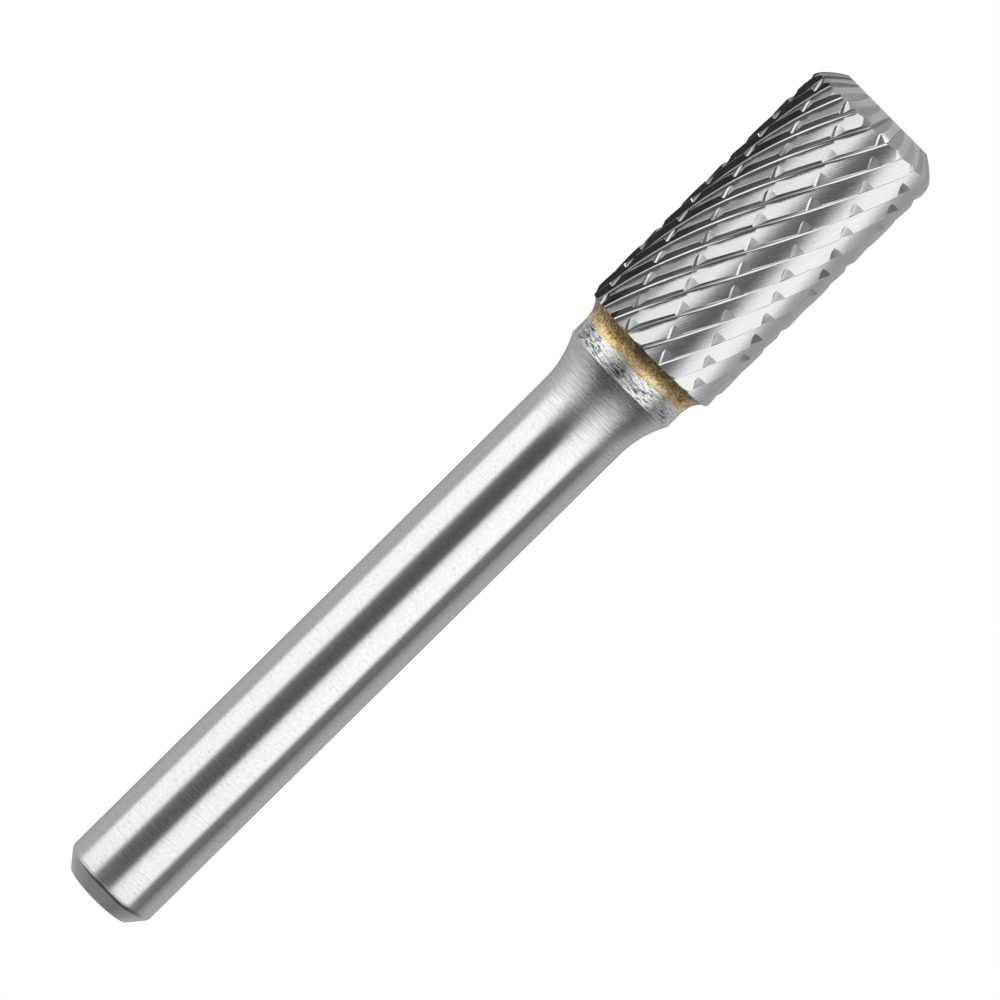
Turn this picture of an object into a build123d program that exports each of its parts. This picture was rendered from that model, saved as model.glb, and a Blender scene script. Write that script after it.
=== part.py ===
"""Carbide burr: a cylindrical double-cut head brazed to a round steel shank.

Frame: millimetres, Z along the axis. z = 0 is the flat end of the cutting head, the head runs up
to HEAD_LENGTH, the braze joint sits on it and the shank runs on to OVERALL_LENGTH. The burr is a
right-hand cutter: the flutes are right-hand helices and each rake face looks toward falling angle
about +Z. The cross-cut runs the other way round, as left-hand grooves that nick every tooth.

Pieces: cutting_head (tungsten carbide), braze_joint (brazing alloy), shank (steel).
"""
import math
import os

from build123d import *

os.makedirs("parts", exist_ok=True)

# ---- cutting head ---------------------------------------------------------------------------
HEAD_RADIUS = 4.82          # radius over the narrow lands on the teeth
HEAD_LENGTH = 19.75         # from the flat end to the back face on the braze
END_CHAMFER_WIDTH = 1.19    # crowned end chamfer, along the radius
END_CHAMFER_HEIGHT = 0.92   # and along the axis, up to its turn into the shoulder
END_CHAMFER_CROWN = 0.05    # how far the chamfer bulges over a straight line
SHOULDER_WIDTH = 0.36       # from that turn out to the full radius
SHOULDER_HEIGHT = 1.62      # height at which the shoulder reaches the full radius
BACK_CHAMFER_WIDTH = 0.14   # back chamfer, next to the braze, along the radius
BACK_CHAMFER_HEIGHT = 0.14  # and along the axis

# ---- flutes ---------------------------------------------------------------------------------
TOOTH_COUNT = 21
FLUTE_HELIX_DEG = 29.1      # angle to the axis at HEAD_RADIUS, right-hand
FLUTE_DEPTH = 0.41          # land to the bottom of the V, along the radius
RAKE_SPAN_DEG = 2.8         # part of the tooth pitch taken by the rake face, seen end on
RIDGE_STOCK = 0.02          # ground off the tooth ridges to leave the narrow lands
RIDGE_PHASE_DEG = -94.4     # angle of one ridge at z = 0

# ---- flute run-outs over the end chamfer --------------------------------------------------------
RUNOUT_END_INSET = 0.11     # bottom of the run-out at z = 0, inside the edge of the end flat
RUNOUT_START_HEIGHT = 1.25  # height at which it leaves the flute
RUNOUT_START_LIFT = 0.04    # bottom of the run-out above the bottom of the flute there
RUNOUT_LAG_DEG = 1.7        # how far its end at z = 0 lags behind the helix

# ---- cross-cut ------------------------------------------------------------------------------
CROSS_COUNT = 10
CROSS_HELIX_DEG = 27.4      # angle to the axis at HEAD_RADIUS, left-hand
CROSS_DEPTH = 0.24          # below the lands
CROSS_WIDTH = 0.72          # width at the lands, seen end on
CROSS_PHASE_DEG = -91.2     # angle of the steep wall of one groove at z = 0

# ---- braze joint ----------------------------------------------------------------------------
BRAZE_THICKNESS = 0.08      # film between the back face of the head and the shank
BRAZE_TOE_INSET = 0.12      # edge of the braze inside the edge of the back face of the head
BRAZE_FILLET_RISE = 1.15    # height of the concave fillet that climbs the collar
BRAZE_FILLET_HOLLOW = 0.155 # how far the fillet is hollowed under a straight line
BRAZE_RISE = 1.60           # height of the braze up the collar in all
BRAZE_SKIN = 0.04           # thickness of the braze over the collar above the fillet
BRAZE_EDGE_HEIGHT = 0.08    # length of the sloped upper edge of the braze

# ---- shank ----------------------------------------------------------------------------------
SHANK_RADIUS = 3.175        # 1/4 in shank
COLLAR_RADIUS = 3.98        # collar at the head end of the shank
COLLAR_LENGTH = 2.45        # from the back face of the head to the corner with the flare
FLARE_LENGTH = 3.20         # from that corner to the plain round shank
OVERALL_LENGTH = 66.15
SHANK_CHAMFER_AXIAL = 1.05
SHANK_CHAMFER_RADIAL = 0.84

# ---- derived --------------------------------------------------------------------------------
FLUTE_TWIST_PER_MM = math.tan(math.radians(FLUTE_HELIX_DEG)) / HEAD_RADIUS
CROSS_TWIST_PER_MM = math.tan(math.radians(CROSS_HELIX_DEG)) / HEAD_RADIUS
FLUTE_LEAD = 2 * math.pi / FLUTE_TWIST_PER_MM
CROSS_LEAD = 2 * math.pi / CROSS_TWIST_PER_MM
TOOTH_PITCH_DEG = 360 / TOOTH_COUNT
ROOT_V_RADIUS = HEAD_RADIUS - FLUTE_DEPTH
END_CHAMFER_RADIUS = HEAD_RADIUS - SHOULDER_WIDTH
END_FLAT_RADIUS = END_CHAMFER_RADIUS - END_CHAMFER_WIDTH
RUNOUT_END_RADIUS = END_FLAT_RADIUS - RUNOUT_END_INSET
BACK_FACE_RADIUS = HEAD_RADIUS - BACK_CHAMFER_WIDTH
BRAZE_TOE_RADIUS = BACK_FACE_RADIUS - BRAZE_TOE_INSET
SHANK_FACE_Z = HEAD_LENGTH + BRAZE_THICKNESS
BRAZE_BAND_RADIUS = COLLAR_RADIUS + BRAZE_SKIN
COLLAR_CORNER_Z = HEAD_LENGTH + COLLAR_LENGTH
FLARE_END_Z = COLLAR_CORNER_Z + FLARE_LENGTH
OVERRUN = 0.5               # how far the cutters run past the ends of the head


def on_circle(radius, angle_deg, z=None):
    """Point at a radius and an angle about the axis, in a section or at a height."""
    angle = math.radians(angle_deg)
    point = (radius * math.cos(angle), radius * math.sin(angle))
    return point if z is None else (point[0], point[1], z)


def bulge(start, end, amount):
    """Middle of start-end, moved sideways to the right of the way from start to end."""
    run = math.dist(start, end)
    across = ((end[1] - start[1]) / run, -(end[0] - start[0]) / run)
    return (
        (start[0] + end[0]) / 2 + amount * across[0],
        (start[1] + end[1]) / 2 + amount * across[1],
    )


# ---- one cross-cut groove, as a cutter --------------------------------------------------------
cross_angle = CROSS_PHASE_DEG + math.degrees(CROSS_TWIST_PER_MM) * OVERRUN
cross_floor = on_circle(HEAD_RADIUS - CROSS_DEPTH, cross_angle)
cross_wall_top = on_circle(HEAD_RADIUS + 0.5, cross_angle + 0.8)
cross_lip = on_circle(HEAD_RADIUS, cross_angle - math.degrees(CROSS_WIDTH / HEAD_RADIUS))
cross_flank_top = (
    2 * cross_lip[0] - cross_floor[0],
    2 * cross_lip[1] - cross_floor[1],
)
with BuildPart() as cross_cutter:
    with BuildLine():
        cross_axis = Line((0, 0, -OVERRUN), (0, 0, HEAD_LENGTH + OVERRUN))
    with BuildLine(Plane.XY.offset(-OVERRUN)):
        cross_guide = Helix(CROSS_LEAD, HEAD_LENGTH + 2 * OVERRUN, HEAD_RADIUS, lefthand=True)
    with BuildSketch(Plane.XY.offset(-OVERRUN)):
        with BuildLine():
            Polyline(cross_floor, cross_wall_top, cross_flank_top, close=True)
        make_face()
    sweep(path=cross_axis, binormal=cross_guide)

# ---- one flute run-out over the end chamfer, as a cutter ----------------------------------------
root_angle = RIDGE_PHASE_DEG - RAKE_SPAN_DEG
runout_start = Vector(
    *on_circle(
        ROOT_V_RADIUS + RUNOUT_START_LIFT,
        root_angle + math.degrees(FLUTE_TWIST_PER_MM) * RUNOUT_START_HEIGHT,
        RUNOUT_START_HEIGHT,
    )
)
runout_end = Vector(*on_circle(RUNOUT_END_RADIUS, root_angle + RUNOUT_LAG_DEG, 0))
runout_way = (runout_start - runout_end).normalized()
runout_across = Vector(0, 0, 1).cross(runout_end).normalized()
with BuildPart() as runout_cutter:
    with BuildSketch(Plane(runout_end - runout_way * 0.4, x_dir=runout_across, z_dir=runout_way)):
        with BuildLine():
            Polyline((0, 0), (0.30, -0.50), (-1.10, -0.42), close=True)
        make_face()
    extrude(amount=(runout_start - runout_end).length + 0.4)

# ---- cutting head -------------------------------------------------------------------------------
with BuildPart() as cutting_head:
    # the fluted bar: the toothed section twisted up the axis
    with BuildLine():
        head_axis = Line((0, 0, -OVERRUN), (0, 0, HEAD_LENGTH + OVERRUN))
    with BuildLine(Plane.XY.offset(-OVERRUN)):
        flute_guide = Helix(FLUTE_LEAD, HEAD_LENGTH + 2 * OVERRUN, HEAD_RADIUS)
    with BuildSketch(Plane.XY.offset(-OVERRUN)):
        corners = []
        for tooth in range(TOOTH_COUNT):
            ridge_angle = RIDGE_PHASE_DEG - math.degrees(FLUTE_TWIST_PER_MM) * OVERRUN
            ridge_angle += tooth * TOOTH_PITCH_DEG
            corners.append(on_circle(ROOT_V_RADIUS, ridge_angle - RAKE_SPAN_DEG))
            corners.append(on_circle(HEAD_RADIUS + RIDGE_STOCK, ridge_angle))
        with BuildLine():
            Polyline(*corners, close=True)
        make_face()
    sweep(path=head_axis, binormal=flute_guide)
    # the ground outline of the head: flat end, crowned chamfer, shoulder, back chamfer
    with BuildSketch(Plane.XZ):
        with BuildLine():
            end_flat = Line((0, 0), (END_FLAT_RADIUS, 0))
            turn_point = (END_CHAMFER_RADIUS, END_CHAMFER_HEIGHT)
            crown_point = bulge((END_FLAT_RADIUS, 0), turn_point, END_CHAMFER_CROWN)
            end_chamfer = ThreePointArc(end_flat @ 1, crown_point, turn_point)
            shoulder = TangentArc(
                end_chamfer @ 1, (HEAD_RADIUS, SHOULDER_HEIGHT), tangent=end_chamfer % 1
            )
            side = Line(shoulder @ 1, (HEAD_RADIUS, HEAD_LENGTH - BACK_CHAMFER_HEIGHT))
            back_chamfer = Line(side @ 1, (BACK_FACE_RADIUS, HEAD_LENGTH))
            back_face = Line(back_chamfer @ 1, (0, HEAD_LENGTH))
            Line(back_face @ 1, end_flat @ 0)
        make_face()
    revolve(axis=Axis.Z, mode=Mode.INTERSECT)
    # the cross-cut grooves and the run-outs of the flutes
    with PolarLocations(0, CROSS_COUNT):
        add(cross_cutter.part, mode=Mode.SUBTRACT)
    with PolarLocations(0, TOOTH_COUNT):
        add(runout_cutter.part, mode=Mode.SUBTRACT)

cutting_head.part.label = "cutting_head"
export_step(cutting_head.part, "parts/cutting_head.step")

# ---- braze joint --------------------------------------------------------------------------------
with BuildPart() as braze_joint:
    with BuildSketch(Plane.XZ):
        with BuildLine():
            head_side = Line((0, HEAD_LENGTH), (BRAZE_TOE_RADIUS, HEAD_LENGTH))
            fillet_top = (BRAZE_BAND_RADIUS, HEAD_LENGTH + BRAZE_FILLET_RISE)
            hollow_point = bulge((BRAZE_TOE_RADIUS, HEAD_LENGTH), fillet_top, -BRAZE_FILLET_HOLLOW)
            fillet_arc = ThreePointArc(head_side @ 1, hollow_point, fillet_top)
            band = Line(
                fillet_arc @ 1,
                (BRAZE_BAND_RADIUS, HEAD_LENGTH + BRAZE_RISE - BRAZE_EDGE_HEIGHT),
            )
            upper_edge = Line(band @ 1, (COLLAR_RADIUS, HEAD_LENGTH + BRAZE_RISE))
            collar_side = Line(upper_edge @ 1, (COLLAR_RADIUS, SHANK_FACE_Z))
            shank_side = Line(collar_side @ 1, (0, SHANK_FACE_Z))
            Line(shank_side @ 1, head_side @ 0)
        make_face()
    revolve(axis=Axis.Z)

braze_joint.part.label = "braze_joint"
export_step(braze_joint.part, "parts/braze_joint.step")

# ---- shank --------------------------------------------------------------------------------------
with BuildPart() as shank:
    with BuildSketch(Plane.XZ):
        with BuildLine():
            seat_face = Line((0, SHANK_FACE_Z), (COLLAR_RADIUS, SHANK_FACE_Z))
            collar = Line(seat_face @ 1, (COLLAR_RADIUS, COLLAR_CORNER_Z))
            round_bar = Line(
                (SHANK_RADIUS, FLARE_END_Z),
                (SHANK_RADIUS, OVERALL_LENGTH - SHANK_CHAMFER_AXIAL),
            )
            flare = TangentArc(round_bar @ 0, collar @ 1, tangent=(0, -1))
            chamfer_side = Line(
                round_bar @ 1, (SHANK_RADIUS - SHANK_CHAMFER_RADIAL, OVERALL_LENGTH)
            )
            end_face = Line(chamfer_side @ 1, (0, OVERALL_LENGTH))
            Line(end_face @ 1, seat_face @ 0)
        make_face()
    revolve(axis=Axis.Z)

shank.part.label = "shank"
export_step(shank.part, "parts/shank.step")
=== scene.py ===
"""Looks for the carbide burr, on the CAD frame.

Lengths are in millimetres, and MM turns them to metres. z = 0 is the flat end of the cutting head,
and +Z runs along the axis towards the free end of the shank. Sections are drawn in the plane z = 0.
"""
import math

import bmesh
import bpy
import numpy as np
from mathutils import Matrix, Vector, noise


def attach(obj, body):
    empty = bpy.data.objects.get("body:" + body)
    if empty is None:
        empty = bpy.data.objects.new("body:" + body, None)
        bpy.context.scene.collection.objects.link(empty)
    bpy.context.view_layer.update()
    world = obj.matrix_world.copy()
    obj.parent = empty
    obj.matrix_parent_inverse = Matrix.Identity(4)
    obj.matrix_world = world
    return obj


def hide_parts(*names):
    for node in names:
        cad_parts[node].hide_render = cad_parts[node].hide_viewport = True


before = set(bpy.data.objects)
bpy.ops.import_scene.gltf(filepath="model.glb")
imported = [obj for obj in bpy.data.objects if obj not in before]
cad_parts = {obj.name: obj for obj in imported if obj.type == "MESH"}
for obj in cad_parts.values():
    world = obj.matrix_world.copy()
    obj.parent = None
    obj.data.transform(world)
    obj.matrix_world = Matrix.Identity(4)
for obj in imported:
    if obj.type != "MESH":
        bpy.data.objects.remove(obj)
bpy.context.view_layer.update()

MM = 0.001

# ---- head -----------------------------------------------------------------------------------
HEAD_RADIUS = 4.82
HEAD_LENGTH = 19.75
END_FLAT_RADIUS = 3.27
END_CHAMFER = (4.46, 0.92)      # radius and height of its turn into the shoulder
END_CHAMFER_CROWN = 0.05        # how far the chamfer bulges over a straight line
SHOULDER_HEIGHT = 1.62          # height at which the shoulder reaches the full radius
BACK_FACE_RADIUS = 4.68
BACK_CHAMFER_HEIGHT = 0.14
OVERRUN = 0.5                   # how far sweeps and cutters run on past what they meet
SWEEP_ROWS = 84
OUTLINE_SEGMENTS = 252
OUTLINE_STEPS = 8               # in the chamfer's arc, and again in the shoulder's

# ---- flutes, right-hand ---------------------------------------------------------------------
TOOTH_COUNT = 21
TOOTH_PITCH = 2 * math.pi / TOOTH_COUNT
FLUTE_TWIST = math.tan(math.radians(29.1)) / HEAD_RADIUS
FLUTE_DEPTH = 0.41
ROOT_V_RADIUS = HEAD_RADIUS - FLUTE_DEPTH
RAKE_SPAN = math.radians(2.3)   # part of the tooth pitch taken by the rake face, seen end on
RIDGE_STOCK = 0.010             # ground off the ridges to leave the narrow lands
RIDGE_PHASE = math.radians(-94.4)   # angle of one ridge at z = 0
ROOT_ON_BACK = 0.106            # the ground floor of the root: its reach along the tooth back,
ROOT_ON_RAKE = 0.053            # its reach along the rake face
ROOT_HOLLOW = 0.005             # and its hollow
ROOT_STEPS = 5
BACK_BULGE = 0.039              # how far the tooth backs are curved over a straight line
BACK_STEPS = 5

# ---- cross-cut, left-hand -------------------------------------------------------------------
CROSS_COUNT = 10
CROSS_PITCH = 2 * math.pi / CROSS_COUNT
CROSS_TWIST = -math.tan(math.radians(27.4)) / HEAD_RADIUS
CROSS_PHASE = math.radians(-91.2)   # angle of one groove at z = 0
CROSS_DEPTH = 0.24              # below the lands
CROSS_WIDTH = 0.72              # at the lands, seen end on
CROSS_SHIFT = 0.035             # of the steep wall, along the circumference
CROSS_FLOOR = (0.145, 0.052)    # width and rise of the flat under the wall
CROSS_WALL_LEAN = math.radians(0.8)     # of the wall's top, OVERRUN above the lands

# ---- run-outs of the flutes over the end chamfer --------------------------------------------
RUNOUT_END_RADIUS = 3.16
RUNOUT_START_HEIGHT = 1.25
RUNOUT_START_LIFT = 0.04        # above the bottom of the flute
RUNOUT_LAG = math.radians(1.7)  # of its end at z = 0 behind the helix
RUNOUT_RUN_ON = 0.4             # past its end at z = 0
RUNOUT_SECTION = ((0, 0), (0.12, -0.50), (-1.10, -0.42))    # across and inward, from its bottom
RUNOUT_TAPER = 0.55             # size of the section at its end to that at its start

# ---- braze ----------------------------------------------------------------------------------
BRAZE_TOE_RADIUS = 4.56
BRAZE_BAND_RADIUS = 4.02
BRAZE_FILLET_RISE = 1.15
BRAZE_FILLET_HOLLOW = 0.155     # how far it is hollowed under a straight line
BRAZE_THICKNESS = 0.08          # of the film between head and shank
BRAZE_SEGMENTS = 360
BRAZE_ROWS = 26
BRAZE_CLIMB = 1.08              # mean height, as a share of BRAZE_FILLET_RISE
BRAZE_WAVES = ((0.10, 2.3, 0), (0.07, 11.0, 3))     # size, density and offset of its unevenness
BRAZE_LUMPS = 0.022
BRAZE_EDGE_TUCK = 0.045         # how far its upper edge turns in to the collar
BRAZE_EDGE_SHARPNESS = 16

# ---- shank ----------------------------------------------------------------------------------
COLLAR_RADIUS = 3.98
COLLAR_CORNER_Z = 22.20
FLARE_END_Z = 25.40
SHANK_RADIUS = 3.175
SHANK_CHAMFER = (0.84, 1.05)    # along the radius and along the axis
SHANK_EDGE = 0.22               # length of the bar and of its chamfer taken by the worn edge
SHANK_SEGMENTS = 192
OVERALL_LENGTH = 66.15

# ---- camera ---------------------------------------------------------------------------------
CAMERA_AZIMUTH = math.radians(-0.8)
CAMERA_TILT = math.radians(5.022)
CAMERA_ROLL = math.radians(44.66)
CAMERA_PLACE = Vector((-0.089, -368.0, 0.0)) * MM
CAMERA_LENS = 223.9


# ---- plane geometry -------------------------------------------------------------------------
def unit(v):
    return v / np.linalg.norm(v)


def at(radius, angle):
    return np.array((radius * math.cos(angle), radius * math.sin(angle)))


def turned(points, angle):
    c, s = math.cos(angle), math.sin(angle)
    return np.asarray(points) @ np.array(((c, s), (-s, c)))


def square_to(v):
    return unit(np.array((-v[1], v[0])))


def circle_through(a, b, c):
    """Centre of the circle through three points."""
    ax, ay, bx, by, cx, cy = *a, *b, *c
    d = 2 * (ax * (by - cy) + bx * (cy - ay) + cx * (ay - by))
    a2, b2, c2 = ax * ax + ay * ay, bx * bx + by * by, cx * cx + cy * cy
    return np.array(
        (
            (a2 * (by - cy) + b2 * (cy - ay) + c2 * (ay - by)) / d,
            (a2 * (cx - bx) + b2 * (ax - cx) + c2 * (bx - ax)) / d,
        )
    )


def tangent_centre(start, end, tangent):
    """Centre of the arc that leaves start along tangent and reaches end."""
    normal = np.array((-tangent[1], tangent[0]))
    chord = np.array(end) - np.array(start)
    return np.array(start) + normal * chord.dot(chord) / (2 * chord.dot(normal))


def arc_points(start, end, centre, steps):
    """Points on the short arc about centre, both ends included."""
    a0 = math.atan2(start[1] - centre[1], start[0] - centre[0])
    a1 = math.atan2(end[1] - centre[1], end[0] - centre[0])
    sweep = (a1 - a0 + math.pi) % (2 * math.pi) - math.pi
    radius = math.dist(start, centre)
    angles = [a0 + sweep * i / steps for i in range(steps + 1)]
    return [(centre[0] + radius * math.cos(t), centre[1] + radius * math.sin(t)) for t in angles]


def bulge(start, end, amount):
    """Middle of the line from start to end, moved to its right by amount."""
    start, end = np.array(start, float), np.array(end, float)
    return (start + end) / 2 - amount * square_to(end - start)


# ---- solids of the head: each face carries the name of the surface it belongs to ------------
CLASSES = [
    "back", "rake", "root", "wall", "flank", "runout", "hidden",
    "end", "chamfer", "shoulder", "side", "back_chamfer", "back_face", "floor",
]
tags = {name: bpy.data.materials.new("tag_" + name) for name in CLASSES}


def linked(name, mesh):
    obj = bpy.data.objects.new(name, mesh)
    bpy.context.scene.collection.objects.link(obj)
    return obj


def tagged_solid(name, vertices, faces, classes):
    mesh = bpy.data.meshes.new(name)
    mesh.from_pydata([tuple(v) for v in vertices], [], faces)
    for cls in CLASSES:
        mesh.materials.append(tags[cls])
    mesh.polygons.foreach_set("material_index", [CLASSES.index(c) for c in classes])
    mesh.update()
    return linked(name, mesh)


def twisted(name, sections, section_classes, twist):
    """Closed sections swept along the head, turning by twist for each millimetre."""
    z0, z1 = -OVERRUN, HEAD_LENGTH + OVERRUN
    vertices, faces, classes = [], [], []
    for points in sections:
        base, n = len(vertices), len(points)
        for row in range(SWEEP_ROWS + 1):
            z = z0 + (z1 - z0) * row / SWEEP_ROWS
            vertices += [(x, y, z) for x, y in turned(points, twist * z)]
        for row in range(SWEEP_ROWS):
            for i in range(n):
                a, b = base + row * n + i, base + row * n + (i + 1) % n
                faces.append((a, b, b + n, a + n))
            classes += section_classes
        faces.append(tuple(base + i for i in reversed(range(n))))
        faces.append(tuple(base + SWEEP_ROWS * n + i for i in range(n)))
        classes += ["hidden", "hidden"]
    return tagged_solid(name, vertices, faces, classes)


def revolved(name, profile, profile_classes, segments):
    """Solid of revolution from a profile that starts and ends on the axis."""
    ring = profile[1:-1]
    vertices = [(0, 0, profile[0][1]), (0, 0, profile[-1][1])]
    for r, z in ring:
        vertices += [(*at(r, 2 * math.pi * k / segments), z) for k in range(segments)]
    faces, classes = [], []
    for i in range(len(ring) - 1):
        for k in range(segments):
            a, b = 2 + i * segments + k, 2 + i * segments + (k + 1) % segments
            faces.append((a, b, b + segments, a + segments))
        classes += [profile_classes[i + 1]] * segments
    last = 2 + (len(ring) - 1) * segments
    for k in range(segments):
        faces.append((0, 2 + (k + 1) % segments, 2 + k))
        faces.append((1, last + k, last + (k + 1) % segments))
        classes += [profile_classes[0], profile_classes[-1]]
    return tagged_solid(name, vertices, faces, classes)


def face_outward(mesh):
    """Turns the faces outwards, as the booleans need."""
    bm = bmesh.new()
    bm.from_mesh(mesh)
    bmesh.ops.recalc_face_normals(bm, faces=bm.faces)
    bm.to_mesh(mesh)
    bm.free()


def boolean(target, tool, operation):
    face_outward(tool.data)
    modifier = target.modifiers.new("cut", "BOOLEAN")
    modifier.operation = operation
    modifier.solver = "MANIFOLD"
    modifier.object = tool
    graph = bpy.context.evaluated_depsgraph_get()
    result = bpy.data.meshes.new_from_object(target.evaluated_get(graph))
    target.modifiers.clear()
    target.data = result
    bpy.data.objects.remove(tool)


# tooth section, with the ridge of one tooth at angle 0
root_v = at(ROOT_V_RADIUS, -RAKE_SPAN)
ridge = at(HEAD_RADIUS + RIDGE_STOCK, 0.0)
next_root_v = at(ROOT_V_RADIUS, TOOTH_PITCH - RAKE_SPAN)
rake_way = unit(ridge - root_v)
back_centre = circle_through(ridge, bulge(ridge, next_root_v, BACK_BULGE), next_root_v)
back_way = -square_to(root_v - turned(back_centre, -TOOTH_PITCH))
root_low = root_v + back_way * ROOT_ON_BACK
root_high = root_v + rake_way * ROOT_ON_RAKE
root_middle = (root_low + root_high) / 2
root_middle -= unit(root_middle) * ROOT_HOLLOW
root_centre = circle_through(root_low, root_middle, root_high)
root_arc = arc_points(root_low, root_high, root_centre, ROOT_STEPS)
back_arc = arc_points(ridge, turned(root_arc[0], TOOTH_PITCH), back_centre, BACK_STEPS)
tooth = [*root_arc, *back_arc[:-1]]
tooth_classes = ["root"] * ROOT_STEPS + ["rake"] + ["back"] * BACK_STEPS
section = np.concatenate([turned(tooth, RIDGE_PHASE + k * TOOTH_PITCH) for k in range(TOOTH_COUNT)])
head = twisted("cutting_head_fine", [section], tooth_classes * TOOTH_COUNT, FLUTE_TWIST)

# ground outline of the head
end_edge = (END_FLAT_RADIUS, 0)
crown = bulge(end_edge, END_CHAMFER, END_CHAMFER_CROWN)
chamfer_centre = circle_through(end_edge, crown, END_CHAMFER)
chamfer_way = square_to(np.array(END_CHAMFER) - chamfer_centre)
shoulder_end = (HEAD_RADIUS, SHOULDER_HEIGHT)
shoulder_centre = tangent_centre(END_CHAMFER, shoulder_end, chamfer_way)
outline = [
    (0, 0),
    *arc_points(end_edge, END_CHAMFER, chamfer_centre, OUTLINE_STEPS),
    *arc_points(END_CHAMFER, shoulder_end, shoulder_centre, OUTLINE_STEPS)[1:],
    (HEAD_RADIUS, HEAD_LENGTH - BACK_CHAMFER_HEIGHT),
    (BACK_FACE_RADIUS, HEAD_LENGTH),
    (0, HEAD_LENGTH),
]
outline_classes = [
    "end", *["chamfer"] * OUTLINE_STEPS, *["shoulder"] * OUTLINE_STEPS,
    "side", "back_chamfer", "back_face",
]
envelope = revolved("envelope", outline, outline_classes, OUTLINE_SEGMENTS)

# cross-cut grooves
floor_width, floor_rise = CROSS_FLOOR
wall_angle = (CROSS_SHIFT + floor_width) / HEAD_RADIUS
floor_point = at(HEAD_RADIUS - CROSS_DEPTH, CROSS_SHIFT / HEAD_RADIUS)
floor_edge = at(HEAD_RADIUS - CROSS_DEPTH + floor_rise, wall_angle)
wall_top = at(HEAD_RADIUS + OVERRUN, wall_angle + CROSS_WALL_LEAN)
lip = at(HEAD_RADIUS, -CROSS_WIDTH / HEAD_RADIUS)
flank_top = 2 * lip - floor_point
groove = [wall_top, flank_top, floor_point, floor_edge]
grooves = twisted(
    "grooves",
    [turned(groove, CROSS_PHASE + k * CROSS_PITCH) for k in range(CROSS_COUNT)],
    ["hidden", "flank", "floor", "wall"],
    CROSS_TWIST,
)

# run-outs
root_angle = RIDGE_PHASE - RAKE_SPAN
start_angle = root_angle + FLUTE_TWIST * RUNOUT_START_HEIGHT
start_point = at(ROOT_V_RADIUS + RUNOUT_START_LIFT, start_angle)
runout_start = Vector((*start_point, RUNOUT_START_HEIGHT))
runout_end = Vector((*at(RUNOUT_END_RADIUS, root_angle + RUNOUT_LAG), 0))
way = (runout_start - runout_end).normalized()
across = Vector((0, 0, 1)).cross(runout_end).normalized()
across = (across - way * across.dot(way)).normalized()
inward = way.cross(across)


def runout(k):
    """One tapered V along the chamfer: steep on the rake side, shallow on the other."""
    spin = Matrix.Rotation(k * TOOTH_PITCH, 3, "Z")
    ends = ((runout_end - way * RUNOUT_RUN_ON, RUNOUT_TAPER), (runout_start, 1.0))
    vertices = [
        spin @ (origin + (across * u + inward * v) * size)
        for origin, size in ends
        for u, v in RUNOUT_SECTION
    ]
    faces = [(0, 1, 4, 3), (1, 2, 5, 4), (2, 0, 3, 5), (2, 1, 0), (3, 4, 5)]
    return tagged_solid("runout", vertices, faces, ["runout"] * 5)


face_outward(head.data)
boolean(head, envelope, "INTERSECT")
boolean(head, grooves, "DIFFERENCE")
for k in range(TOOTH_COUNT):
    boolean(head, runout(k), "DIFFERENCE")

# ---- exact normals, from the surface that each face belongs to ------------------------------
# direction of each section's line at a point of the section
FLUTE_WAYS = {
    "back": lambda point: square_to(point - back_centre),
    "rake": lambda point: rake_way,
    "root": lambda point: square_to(point - root_centre),
}
CROSS_WAYS = {
    "wall": lambda point: unit(wall_top - floor_edge),
    "floor": lambda point: unit(floor_edge - floor_point),
    "flank": lambda point: unit(flank_top - floor_point),
}
ARC_CENTRES = {"chamfer": chamfer_centre, "shoulder": shoulder_centre}
AGREEMENT = 0.8     # least cosine between the exact normal and the face's own, which stays if not


def swept_normal(point, section_way, twist, spin):
    """Normal of a twisted surface at a point, where the section is turned by spin."""
    x, y = turned(point, -spin)
    tx, ty = section_way(np.array((x, y)))
    nx, ny, nz = unit(np.array((ty, -tx, twist * (tx * x + ty * y))))
    return np.array((*turned((nx, ny), spin), nz))


def exact_normal(cls, centre, point, own):
    x, y, z = point
    angle = math.atan2(centre[1], centre[0])
    if cls in FLUTE_WAYS:
        teeth = (angle - FLUTE_TWIST * centre[2] - RIDGE_PHASE) / TOOTH_PITCH
        teeth = math.floor(teeth) if cls == "back" else round(teeth)
        spin = RIDGE_PHASE + teeth * TOOTH_PITCH + FLUTE_TWIST * z
        normal = swept_normal((x, y), FLUTE_WAYS[cls], FLUTE_TWIST, spin)
    elif cls in CROSS_WAYS:
        pitches = round((angle - CROSS_TWIST * centre[2] - CROSS_PHASE) / CROSS_PITCH)
        spin = CROSS_PHASE + pitches * CROSS_PITCH + CROSS_TWIST * z
        normal = swept_normal((x, y), CROSS_WAYS[cls], CROSS_TWIST, spin)
    elif cls in ARC_CENTRES:
        r = math.hypot(x, y)
        nr, nz = unit(np.array((r, z)) - ARC_CENTRES[cls])
        normal = np.array((nr * x / r, nr * y / r, nz))
    elif cls == "side":
        r = math.hypot(x, y)
        normal = np.array((x / r, y / r, 0.0))
    else:
        return own
    if normal.dot(own) < 0:
        normal = -normal
    return normal if normal.dot(own) > AGREEMENT else own


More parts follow.
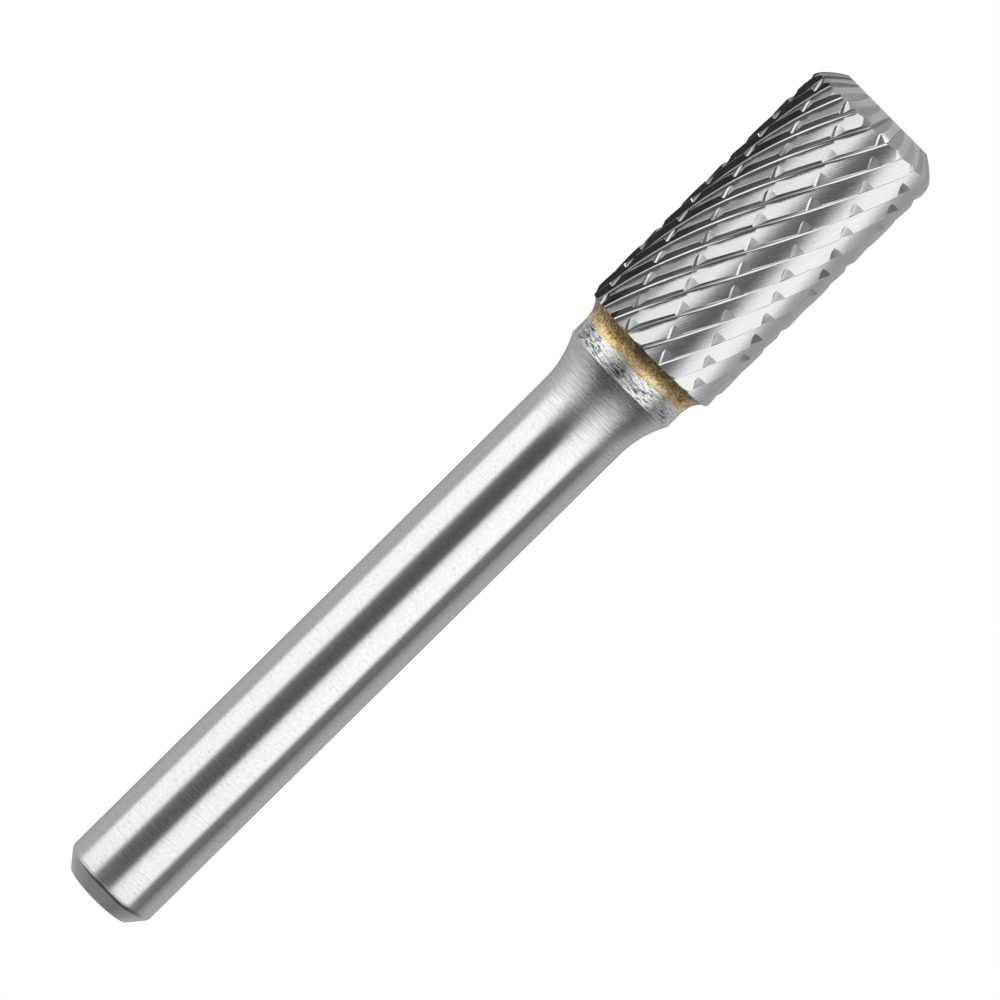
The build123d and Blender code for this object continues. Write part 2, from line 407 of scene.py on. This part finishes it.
mesh = head.data
class_of = [CLASSES[polygon.material_index] for polygon in mesh.polygons]
head_normals = [None] * len(mesh.loops)
along_flute = mesh.uv_layers.new(name="along_flute")
for polygon, cls in zip(mesh.polygons, class_of):
    own = np.array(polygon.normal)
    centre = polygon.center
    centre_angle = math.atan2(centre.y, centre.x)
    for loop_index in polygon.loop_indices:
        x, y, z = point = mesh.vertices[mesh.loops[loop_index].vertex_index].co
        head_normals[loop_index] = tuple(exact_normal(cls, centre, point, own))
        angle = math.atan2(y, x)
        angle += round((centre_angle - angle) / (2 * math.pi)) * 2 * math.pi
        along_flute.data[loop_index].uv = ((angle - FLUTE_TWIST * z) * HEAD_RADIUS, z)


# ---- materials ------------------------------------------------------------------------------
def rgba(level):
    """A colour, or a level of grey, as colour sockets hold it."""
    return (*level, 1) if isinstance(level, tuple) else (level, level, level, 1)


class Nodes:
    """The nodes of a material or of the world, one call for each kind."""

    def __init__(self, tree):
        self.nodes, self.links = tree.nodes, tree.links

    def put(self, socket, value):
        if isinstance(value, bpy.types.NodeSocket):
            self.links.new(value, socket)
        else:
            socket.default_value = rgba(value) if socket.type == "RGBA" else value

    def add(self, kind, **inputs):
        node = self.nodes.new(kind)
        for name, value in inputs.items():
            self.put(node.inputs[name], value)
        return node

    def noise(self, vector, scale, detail, roughness):
        """Noise with its own density, in cells per unit, along each axis."""
        mapped = self.add("ShaderNodeMapping", Vector=vector, Scale=scale).outputs["Vector"]
        return self.add(
            "ShaderNodeTexNoise", Vector=mapped, Scale=1.0, Detail=detail, Roughness=roughness
        ).outputs["Fac"]

    def calc(self, operation, *values):
        node = self.nodes.new("ShaderNodeMath")
        node.operation = operation
        for socket, value in zip(node.inputs, values):
            self.put(socket, value)
        return node.outputs[0]

    def ramp(self, value, stops):
        """Stops are pairs of a position and the level or colour there."""
        node = self.add("ShaderNodeValToRGB", Fac=value)
        elements = node.color_ramp.elements
        while len(elements) > 1:
            elements.remove(elements[-1])
        for i, (position, level) in enumerate(stops):
            element = elements[0] if i == 0 else elements.new(position)
            element.position = position
            element.color = rgba(level)
        return node.outputs["Color"]

    def blend(self, factor, a, b):
        node = self.nodes.new("ShaderNodeMix")
        node.data_type = "RGBA"
        self.put(node.inputs["Factor"], factor)
        for socket, value in zip(node.inputs[6:8], (a, b)):
            self.put(socket, value)
        return node.outputs[2]

    def bump(self, height, strength, distance):
        return self.add(
            "ShaderNodeBump", Height=height, Strength=strength, Distance=distance
        ).outputs["Normal"]

    def uv(self, name):
        node = self.nodes.new("ShaderNodeUVMap")
        node.uv_map = name
        return node.outputs["UV"]

    def coordinates(self, kind):
        return self.nodes.new("ShaderNodeTexCoord").outputs[kind]

    def parts(self, vector):
        return self.add("ShaderNodeSeparateXYZ", Vector=vector).outputs


def new_material(name, metallic=1.0):
    material = bpy.data.materials.new(name)
    material.use_nodes = True
    shader = material.node_tree.nodes["Principled BSDF"]
    shader.inputs["Metallic"].default_value = metallic
    return material, Nodes(material.node_tree), shader.inputs


GRIND_RELIEF = 0.02 * MM        # depth of grinding streaks at full strength


def carbide(name, streak, rough, tone=1.0):
    """Ground carbide: fine streaks along the flutes, of strength streak, and a cloudy polish."""
    material, make, inputs = new_material(name)
    fine = make.noise(make.uv("along_flute"), (22, 0.8, 1), 4.0, 0.6)
    position = make.coordinates("Object")
    cloud = make.noise(position, (900, 900, 900), 3.0, 0.55)
    polish = make.calc("MULTIPLY_ADD", cloud, 0.4, make.calc("MULTIPLY", fine, 0.6))
    color = make.ramp(fine, [(0.25, 0.50 * tone), (0.6, 0.62 * tone), (0.8, 0.68 * tone)])
    make.put(inputs["Base Color"], color)
    make.put(inputs["Roughness"], make.ramp(polish, [(0.3, rough * 0.6), (0.75, rough * 1.7)]))
    make.put(inputs["Normal"], make.bump(fine, streak, GRIND_RELIEF))
    return material


def steel(name):
    """Ground bar, satin on the flare, with dark and light grey streaks on the collar next to the
    braze.
    """
    material, make, inputs = new_material(name)
    place = make.uv("around")
    z = make.parts(place)[1]
    rings = make.noise(place, (0.35, 9.0, 1), 5.0, 0.65)
    scratches = make.noise(place, (0.8, 11.0, 1), 5.0, 0.7)
    specks = make.noise(place, (4.0, 5.0, 1), 4.0, 0.7)
    streaks = make.noise(place, (2.6, 12.0, 1), 5.0, 0.75)
    patches = make.noise(place, (0.42, 0.7, 1), 2.0, 0.5)
    streaks = make.calc("MULTIPLY_ADD", make.calc("SUBTRACT", patches, 0.5), 0.45, streaks)

    def by_height(height, top, stops):
        """Levels at heights in millimetres; top is the height where the colour ramp ends."""
        stops = [(z / top, level) for z, level in stops]
        return make.ramp(make.calc("DIVIDE", height, top), stops)

    # where each finish lies; scratches make two of the limits ragged
    ragged_z = make.calc("ADD", z, make.calc("MULTIPLY_ADD", scratches, 1.2, -0.6))
    satin = by_height(ragged_z, 50.0, [(24.7, 1.0), (28.0, 0.0)])
    worn_end = by_height(ragged_z, 100.0, [(62.5, 0.0), (65.5, 1.0)])
    collar = by_height(z, 50.0, [(22.05, 1.0), (22.3, 0.0)])

    bar = make.ramp(specks, [(0.25, 0.28), (0.38, 0.61), (0.7, 0.67)])
    bar = make.blend(satin, bar, make.ramp(scratches, [(0.32, 0.48), (0.68, 0.82)]))
    # dark and light grey streaks in the collar's colour, from near black to near white
    collar_streaks = make.ramp(
        streaks,
        [
            (0.395, (0.035, 0.04, 0.05)), (0.44, (0.28, 0.29, 0.31)),
            (0.475, (0.66, 0.66, 0.66)), (0.60, (0.90, 0.89, 0.87)),
        ],
    )
    polish = make.ramp(rings, [(0.3, 0.08), (0.7, 0.16)])
    polish = make.calc("MULTIPLY_ADD", satin, 0.13, polish)
    polish = make.calc("MULTIPLY_ADD", worn_end, 0.10, polish)
    relief = make.calc("MULTIPLY_ADD", satin, make.calc("MULTIPLY", streaks, 2.5), rings)
    make.put(inputs["Base Color"], make.blend(collar, bar, collar_streaks))
    make.put(inputs["Roughness"], polish)
    make.put(inputs["Normal"], make.bump(relief, 0.4, GRIND_RELIEF))
    return material


def braze_metal(name):
    """Grainy alloy, darker next to the carbide and lighter towards the collar: painted shade and
    painted highlight.
    """
    material, make, inputs = new_material(name, metallic=0.92)
    position = make.coordinates("Object")
    grain = make.noise(position, (5200, 5200, 6500), 5.0, 0.75)
    cloud = make.noise(position, (1000, 1000, 1500), 3.0, 0.6)
    tone = make.calc("MULTIPLY_ADD", cloud, 0.35, make.calc("MULTIPLY", grain, 0.65))
    # painted shade and highlight: by height, the colour gets darker towards the carbide and lighter
    # towards the collar
    painted_light_height = make.calc("SUBTRACT", make.parts(position)[2], (HEAD_LENGTH + 0.55) * MM)
    tone = make.calc("MULTIPLY_ADD", painted_light_height, 0.16 / MM, tone)
    color = make.ramp(
        tone,
        [
            (0.365, (0.13, 0.08, 0.04)), (0.465, (0.43, 0.28, 0.12)),
            (0.545, (0.80, 0.59, 0.27)), (0.64, (1.0, 0.90, 0.58)),
        ],
    )
    make.put(inputs["Base Color"], color)
    make.put(inputs["Roughness"], make.ramp(grain, [(0.35, 0.32), (0.65, 0.20)]))
    make.put(inputs["Normal"], make.bump(grain, 0.55, 0.05 * MM))
    return material


HEAD_METALS = {
    "back": carbide("carbide_tooth_backs", 0.3, 0.13),
    "rake": carbide("carbide_rake_faces", 0.0, 0.07),
    "flank": carbide("carbide_cross_cut", 0.05, 0.12),
    "ground": carbide("carbide_ground", 0.2, 0.25),
    # the run-outs take a darker copy of the carbide, at 0.74 of its colour: painted shade
    "runout": carbide("carbide_runouts", 0.1, 0.22, 0.74),
}
# surfaces that have another's metal; those named in neither table are plain ground
SHARED_METALS = {"root": "rake", "wall": "rake", "floor": "rake", "side": "rake"}


def finish(obj, materials, node, normals=None):
    """Gives a piece its metals and normals, and puts it in the place of a CAD node."""
    obj.data.materials.clear()
    for material in materials:
        obj.data.materials.append(material)
    obj.data.transform(Matrix.Scale(MM, 4))
    obj.data.polygons.foreach_set("use_smooth", [True] * len(obj.data.polygons))
    if normals is not None:
        obj.data.normals_split_custom_set(normals)
    obj.data.update()
    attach(obj, "root")
    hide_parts(node)


finish(head, HEAD_METALS.values(), "cutting_head", head_normals)
metal_names = list(HEAD_METALS)
metals = (SHARED_METALS.get(cls, cls) for cls in class_of)
metal_of_face = [metal_names.index(m if m in HEAD_METALS else "ground") for m in metals]
head.data.polygons.foreach_set("material_index", metal_of_face)


# ---- shank ----------------------------------------------------------------------------------
def lathe(name, spans, segments):
    """Revolved spans, each smooth in itself: lists of radius, z and the normal along both."""
    vertices, faces, normals, uvs = [], [], [], []

    def turn(step):
        """Angle of a step; the seam is at +Y, away from the camera."""
        return math.pi / 2 + 2 * math.pi * step / segments

    for span in spans:
        base = len(vertices)
        for r, z, _, _ in span:
            vertices += [(*at(r, turn(k)), z) for k in range(segments)]
        for i in range(len(span) - 1):
            for k in range(segments):
                corners = [(i, k), (i, k + 1), (i + 1, k + 1), (i + 1, k)]
                if span[i][0] == 0:
                    corners.pop(1)
                elif span[i + 1][0] == 0:
                    corners.pop(2)
                faces.append(
                    tuple(base + row * segments + step % segments for row, step in corners)
                )
                for row, step in corners:
                    r, z, nr, nz = span[row]
                    normals.append((*at(nr, turn(step)), nz))
                    # millimetres round the bar and along it, and on inwards over its end
                    inward = max(SHANK_RADIUS - r, 0.0)
                    uvs.append((turn(step) * min(r, SHANK_RADIUS), z + inward))
    mesh = bpy.data.meshes.new(name)
    mesh.from_pydata(vertices, [], faces)
    mesh.uv_layers.new(name="around").data.foreach_set("uv", [c for uv in uvs for c in uv])
    return linked(name, mesh), normals


def straight(start, end, steps=1):
    nr, nz = -square_to(np.subtract(end, start))
    points = (np.array(start) + np.subtract(end, start) * i / steps for i in range(steps + 1))
    return [(r, z, nr, nz) for r, z in points]


def curved(start, end, centre, steps, side):
    """Arc whose normals point away from centre with side 1, and towards it with -1."""
    points = arc_points(start, end, centre, steps)
    return [(*point, *unit(np.array(point) - centre) * side) for point in points]


seat_z = HEAD_LENGTH + BRAZE_THICKNESS
corner = (COLLAR_RADIUS, COLLAR_CORNER_Z)
flare_start = (SHANK_RADIUS, FLARE_END_Z)
flare_centre = tangent_centre(flare_start, corner, (0.0, -1.0))
chamfer_radial, chamfer_axial = SHANK_CHAMFER
bar_end = OVERALL_LENGTH - chamfer_axial
tip_edge = (SHANK_RADIUS - chamfer_radial, OVERALL_LENGTH)
edge_share = SHANK_EDGE / math.hypot(*SHANK_CHAMFER)
edge_start = (SHANK_RADIUS, bar_end - SHANK_EDGE)
edge_end = (SHANK_RADIUS - chamfer_radial * edge_share, bar_end + chamfer_axial * edge_share)
edge_centre = tangent_centre(edge_start, edge_end, (0.0, 1.0))
shank, shank_normals = lathe(
    "shank_fine",
    [
        straight((0, seat_z), (COLLAR_RADIUS, seat_z)),
        straight((COLLAR_RADIUS, seat_z), corner, 6),
        curved(corner, flare_start, flare_centre, 24, -1),
        straight(flare_start, edge_start, 40),
        curved(edge_start, edge_end, edge_centre, 8, 1),
        straight(edge_end, tip_edge, 4),
        straight(tip_edge, (0, OVERALL_LENGTH)),
    ],
    SHANK_SEGMENTS,
)
finish(shank, [steel("shank_steel")], "shank", shank_normals)


# ---- braze ----------------------------------------------------------------------------------
def braze_ring():
    """The fillet of brazing alloy: it climbs the collar unevenly and its skin is slightly lumpy."""
    toe = (BRAZE_TOE_RADIUS, HEAD_LENGTH)
    top = (BRAZE_BAND_RADIUS, HEAD_LENGTH + BRAZE_FILLET_RISE)
    centre = circle_through(toe, bulge(toe, top, -BRAZE_FILLET_HOLLOW), top)
    profile = arc_points(toe, top, centre, BRAZE_ROWS)
    hidden_r, hidden_z = 0.9 * BRAZE_TOE_RADIUS, HEAD_LENGTH + 0.01     # out of sight under it
    vertices, faces = [], []
    for k in range(BRAZE_SEGMENTS):
        c, s = at(1.0, 2 * math.pi * k / BRAZE_SEGMENTS)
        climb = BRAZE_CLIMB + sum(
            size * noise.noise(Vector((c, s, 0.0)) * density + Vector((offset, 0, 0)))
            for size, density, offset in BRAZE_WAVES
        )
        vertices.append((hidden_r * c, hidden_r * s, hidden_z))
        for i, (r, z) in enumerate(profile):
            share = i / BRAZE_ROWS
            lump = noise.noise(Vector((c * 5, s * 5, share * 2.5))) * math.sin(math.pi * share)
            r += BRAZE_LUMPS * lump - BRAZE_EDGE_TUCK * share**BRAZE_EDGE_SHARPNESS
            vertices.append((r * c, r * s, HEAD_LENGTH + (z - HEAD_LENGTH) * climb))
    row = BRAZE_ROWS + 2
    for k in range(BRAZE_SEGMENTS):
        a, b = k * row, ((k + 1) % BRAZE_SEGMENTS) * row
        faces += [(a + i, b + i, b + i + 1, a + i + 1) for i in range(row - 1)]
    mesh = bpy.data.meshes.new("braze_fine")
    mesh.from_pydata(vertices, [], faces)
    return linked("braze_fine", mesh)


finish(braze_ring(), [braze_metal("braze_alloy")], "braze_joint")

# ---- floor ----------------------------------------------------------------------------------
bpy.ops.mesh.primitive_circle_add(vertices=96, radius=0.15, fill_type="NGON", location=(0, 0, 0))
floor = bpy.context.object
floor.name = "floor"
pale, make, inputs = new_material("pale_floor", metallic=0.0)
make.put(inputs["Base Color"], 0.86)
make.put(inputs["Roughness"], 0.9)
floor.data.materials.append(pale)
floor.visible_glossy = False

# ---- studio: walls and softboxes round the burr, in bands one above the other ---------------
# for each band: the elevations in degrees where it starts and where it is full, and its levels
# by azimuth in degrees, 0 being the photo's side and +90 its left
BANDS = [
    # a bright reflector below the horizon on one side of the burr, grey on the other
    (-86, -80, [
        (-180, 0.72), (-110, 0.66), (-60, 0.50), (-10, 0.35), (10, 0.5), (24, 2.0), (64, 2.0),
        (84, 0.65), (179, 0.72),
    ]),
    # the foot of two upright softboxes, where grey walls fill the gaps
    (-37, -31, [
        (-180, 0.36), (-150, 0.42), (-120, 0.46), (-96, 0.52), (-86, 1.25), (-46, 1.42),
        (-34, 0.45), (-20, 0.20), (0, 0.18), (10, 0.55), (20, 1.30), (30, 1.48), (60, 1.50),
        (70, 0.95), (78, 0.58), (95, 0.50), (120, 0.55), (150, 0.60), (179, 0.36),
    ]),
    # the softboxes, with a dark gap between them
    (-9, -1, [
        (-180, 0.26), (-165, 0.34), (-150, 0.48), (-130, 0.58), (-94, 0.60), (-88, 1.38),
        (-72, 1.48), (-42, 1.46), (-35, 0.30), (-26, 0.16), (-10, 0.12), (7, 0.16), (15, 1.30),
        (26, 1.50), (60, 1.52), (65, 1.25), (72, 0.26), (92, 0.20), (104, 0.42), (120, 0.54),
        (150, 0.53), (165, 0.38), (179, 0.26),
    ]),
    # their unlit tops
    (12, 16, [
        (-180, 0.40), (-150, 0.50), (-120, 0.62), (-42, 0.68), (-30, 0.42), (-4, 0.35),
        (12, 0.42), (28, 0.66), (56, 0.70), (72, 0.50), (82, 0.22), (112, 0.24), (130, 0.48),
        (150, 0.55), (179, 0.40),
    ]),
    # the wall washed by their spill
    (20, 24, [
        (-180, 0.46), (-130, 0.52), (-106, 0.58), (-88, 1.0), (-50, 1.05), (-42, 0.75),
        (-34, 0.28), (-20, 0.20), (-4, 0.18), (6, 0.35), (16, 0.95), (30, 1.05), (54, 0.95),
        (66, 0.50), (74, 0.14), (104, 0.12), (118, 0.34), (140, 0.52), (179, 0.46),
    ]),
    # the ceiling, dark on the photo's side
    (36, 42, [
        (-180, 0.42), (-120, 0.38), (-90, 0.26), (-66, 0.05), (92, 0.04), (106, 0.2),
        (130, 0.36), (179, 0.42),
    ]),
]
GROUND_LEVEL = 0.78
ZENITH_LEVEL = 0.30

world = bpy.data.worlds.new("studio")
bpy.context.scene.world = world
world.use_nodes = True
make = Nodes(world.node_tree)
toward = make.parts(make.coordinates("Generated"))
plan = make.add(
    "ShaderNodeCombineXYZ",
    X=make.calc("MULTIPLY", toward[1], -1),
    Y=make.calc("MULTIPLY", toward[0], -1),
).outputs[0]
gradient = make.add("ShaderNodeTexGradient", Vector=plan)
gradient.gradient_type = "RADIAL"
azimuth = gradient.outputs["Fac"]
elevation = make.calc("ADD", make.calc("MULTIPLY", toward[2], 0.5), 0.5)


def risen(start, full):
    """0 below the elevation start, 1 above full."""
    angles = ((start, 0.0), (full, 1.0))
    stops = [(0.5 + 0.5 * math.sin(math.radians(angle)), level) for angle, level in angles]
    return make.ramp(elevation, stops)


studio = GROUND_LEVEL
for start, full, levels in BANDS:
    band = make.ramp(azimuth, [(0.5 + angle / 360, level) for angle, level in levels])
    studio = make.blend(risen(start, full), studio, band)
studio = make.blend(risen(64, 72), studio, ZENITH_LEVEL)
path = make.nodes.new("ShaderNodeLightPath").outputs
seen = make.calc("MAXIMUM", path["Is Camera Ray"], path["Is Transmission Ray"])
background = make.nodes["Background"].inputs
make.put(background["Color"], make.blend(seen, studio, 1.0))
background["Strength"].default_value = 1.0

sun = bpy.data.lights.new("overhead", "SUN")
sun.energy = 2.0
sun.angle = math.radians(40)
linked("overhead", sun).visible_glossy = False

# ---- camera, on the photo's side: the burr runs from lower left to upper right --------------
to_head = Vector((0, math.sin(CAMERA_TILT), -math.cos(CAMERA_TILT)))
to_side = Vector((-1, 0, 0))
forward = Vector((0, math.cos(CAMERA_TILT), math.sin(CAMERA_TILT)))
right = to_head * math.cos(CAMERA_ROLL) + to_side * math.sin(CAMERA_ROLL)
up = to_head * math.sin(CAMERA_ROLL) - to_side * math.cos(CAMERA_ROLL)
camera_data = bpy.data.cameras.new("camera")
camera_data.lens = CAMERA_LENS
camera_data.sensor_width = 36
camera_data.clip_start = 0.01
camera = linked("camera", camera_data)
stance = Matrix((right, up, -forward)).transposed().to_4x4()
stance.translation = CAMERA_PLACE
camera.matrix_world = Matrix.Rotation(CAMERA_AZIMUTH, 4, "Z") @ stance
bpy.context.scene.camera = camera
bpy.context.scene.view_settings.view_transform = "Standard"
